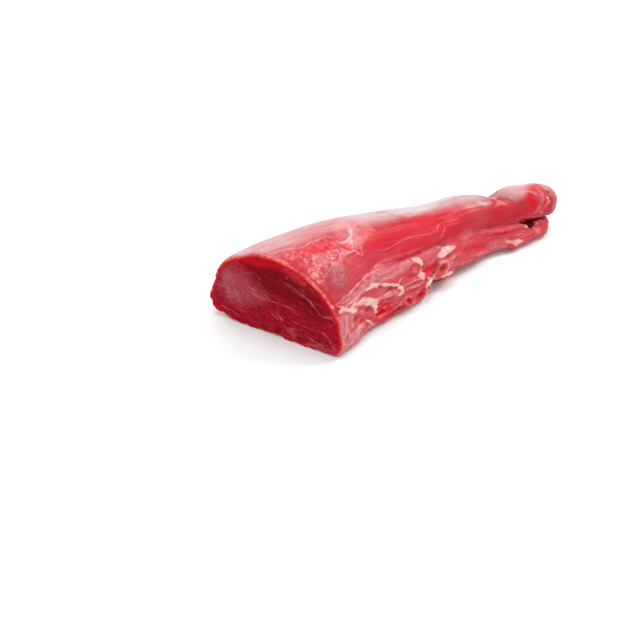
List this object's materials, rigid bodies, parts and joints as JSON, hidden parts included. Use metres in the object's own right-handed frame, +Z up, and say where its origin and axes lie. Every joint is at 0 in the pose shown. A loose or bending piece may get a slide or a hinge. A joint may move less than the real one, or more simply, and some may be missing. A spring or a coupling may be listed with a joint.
{
  "type": "beef tenderloin",
  "caption": "Raw trimmed beef tenderloin in one piece: a thick end cut straight across, a side strap along the front, and a tail that tapers to a rounded lobe over a thin flap.",
  "frame": {"origin": "on the surface it lies on, under the middle of its overall box", "axes": "+X from the cut face to the tail, +Y towards the back away from the side strap, +Z up"},
  "size_m": [0.2522, 0.1106, 0.065],
  "materials": {
    "raw_beef": "moist raw lean beef, satin to glossy, with whitish silverskin on the back, small cream fat patches on the side strap, and a darker, finely marbled cut face"
  },
  "bodies": {
    "root": {"tenderloin": "raw_beef"}
  },
  "joints": []
}
